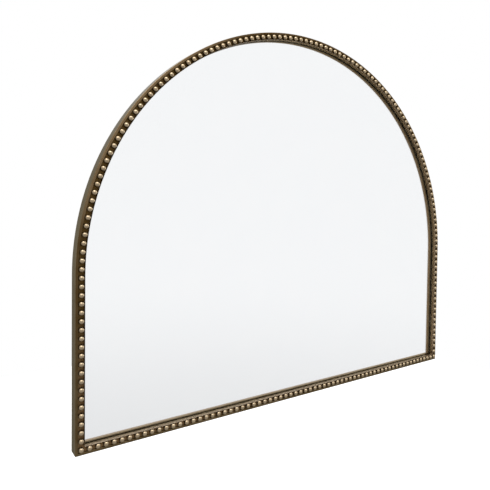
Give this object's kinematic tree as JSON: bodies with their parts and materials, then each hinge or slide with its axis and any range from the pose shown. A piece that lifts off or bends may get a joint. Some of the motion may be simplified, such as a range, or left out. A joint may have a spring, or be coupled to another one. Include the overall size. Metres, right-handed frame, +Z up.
{
  "type": "arched wall mirror",
  "caption": "Wide wall mirror with a round arched top, straight sides and bottom, in a slim antique bronze frame with a beaded front edge.",
  "frame": {"origin": "on the wall plane, midway between the two wall hooks that the raised rings hang on", "axes": "+X to the viewer's right along the width, +Y through the mirror towards the wall, +Z up; the glass faces -Y"},
  "size_m": [1.143, 0.0375, 0.926],
  "materials": {
    "frame_bronze": "antique bronze with dark patina in the trough and worn rims",
    "bead_bronze": "antique bronze, rubbed bright on the crowns of the beads",
    "mirror_glass": "silvered behind clear float glass",
    "dark_foam": "closed cell foam, matt",
    "white_foam": "closed cell foam, matt",
    "painted_board": "fibreboard with a thin black coat",
    "zinc_steel": "zinc plated sheet",
    "screw_steel": "zinc plated",
    "ring_steel": "nickel plated wire",
    "bumper_rubber": "matt"
  },
  "bodies": {
    "mirror": {"arch_frame_bar": "frame_bronze", "bottom_frame_rail": "frame_bronze", "arch_bead_strip": "bead_bronze", "bottom_bead_strip": "bead_bronze", "glazing_tape": "dark_foam", "mirror_glass": "mirror_glass", "foam_tape_strips": "white_foam", "backing_board": "painted_board", "left_stile_tabs": "zinc_steel", "right_stile_tabs": "zinc_steel", "bottom_rail_tabs": "zinc_steel", "arch_tabs": "zinc_steel", "left_corner_gusset": "zinc_steel", "left_hanger_plate": "zinc_steel", "left_plate_screws": "screw_steel", "left_hanger_strap": "zinc_steel", "left_strap_screws": "screw_steel", "lower_left_bumper": "bumper_rubber", "upper_left_bumper": "bumper_rubber", "right_corner_gusset": "zinc_steel", "right_hanger_plate": "zinc_steel", "right_plate_screws": "screw_steel", "right_hanger_strap": "zinc_steel", "right_strap_screws": "screw_steel", "lower_right_bumper": "bumper_rubber", "upper_right_bumper": "bumper_rubber"},
    "left_ring": {"left_d_ring": "ring_steel"},
    "right_ring": {"right_d_ring": "ring_steel"}
  },
  "joints": [
    {"name": "left_ring_swing", "type": "hinge", "parent": "mirror", "child": "left_ring", "pos_m": [-0.38, -0.00544, -0.0225], "axis": [1, 0, 0], "range_deg": [0, 180]},
    {"name": "right_ring_swing", "type": "hinge", "parent": "mirror", "child": "right_ring", "pos_m": [0.38, -0.00544, -0.0225], "axis": [1, 0, 0], "range_deg": [0, 180]}
  ]
}
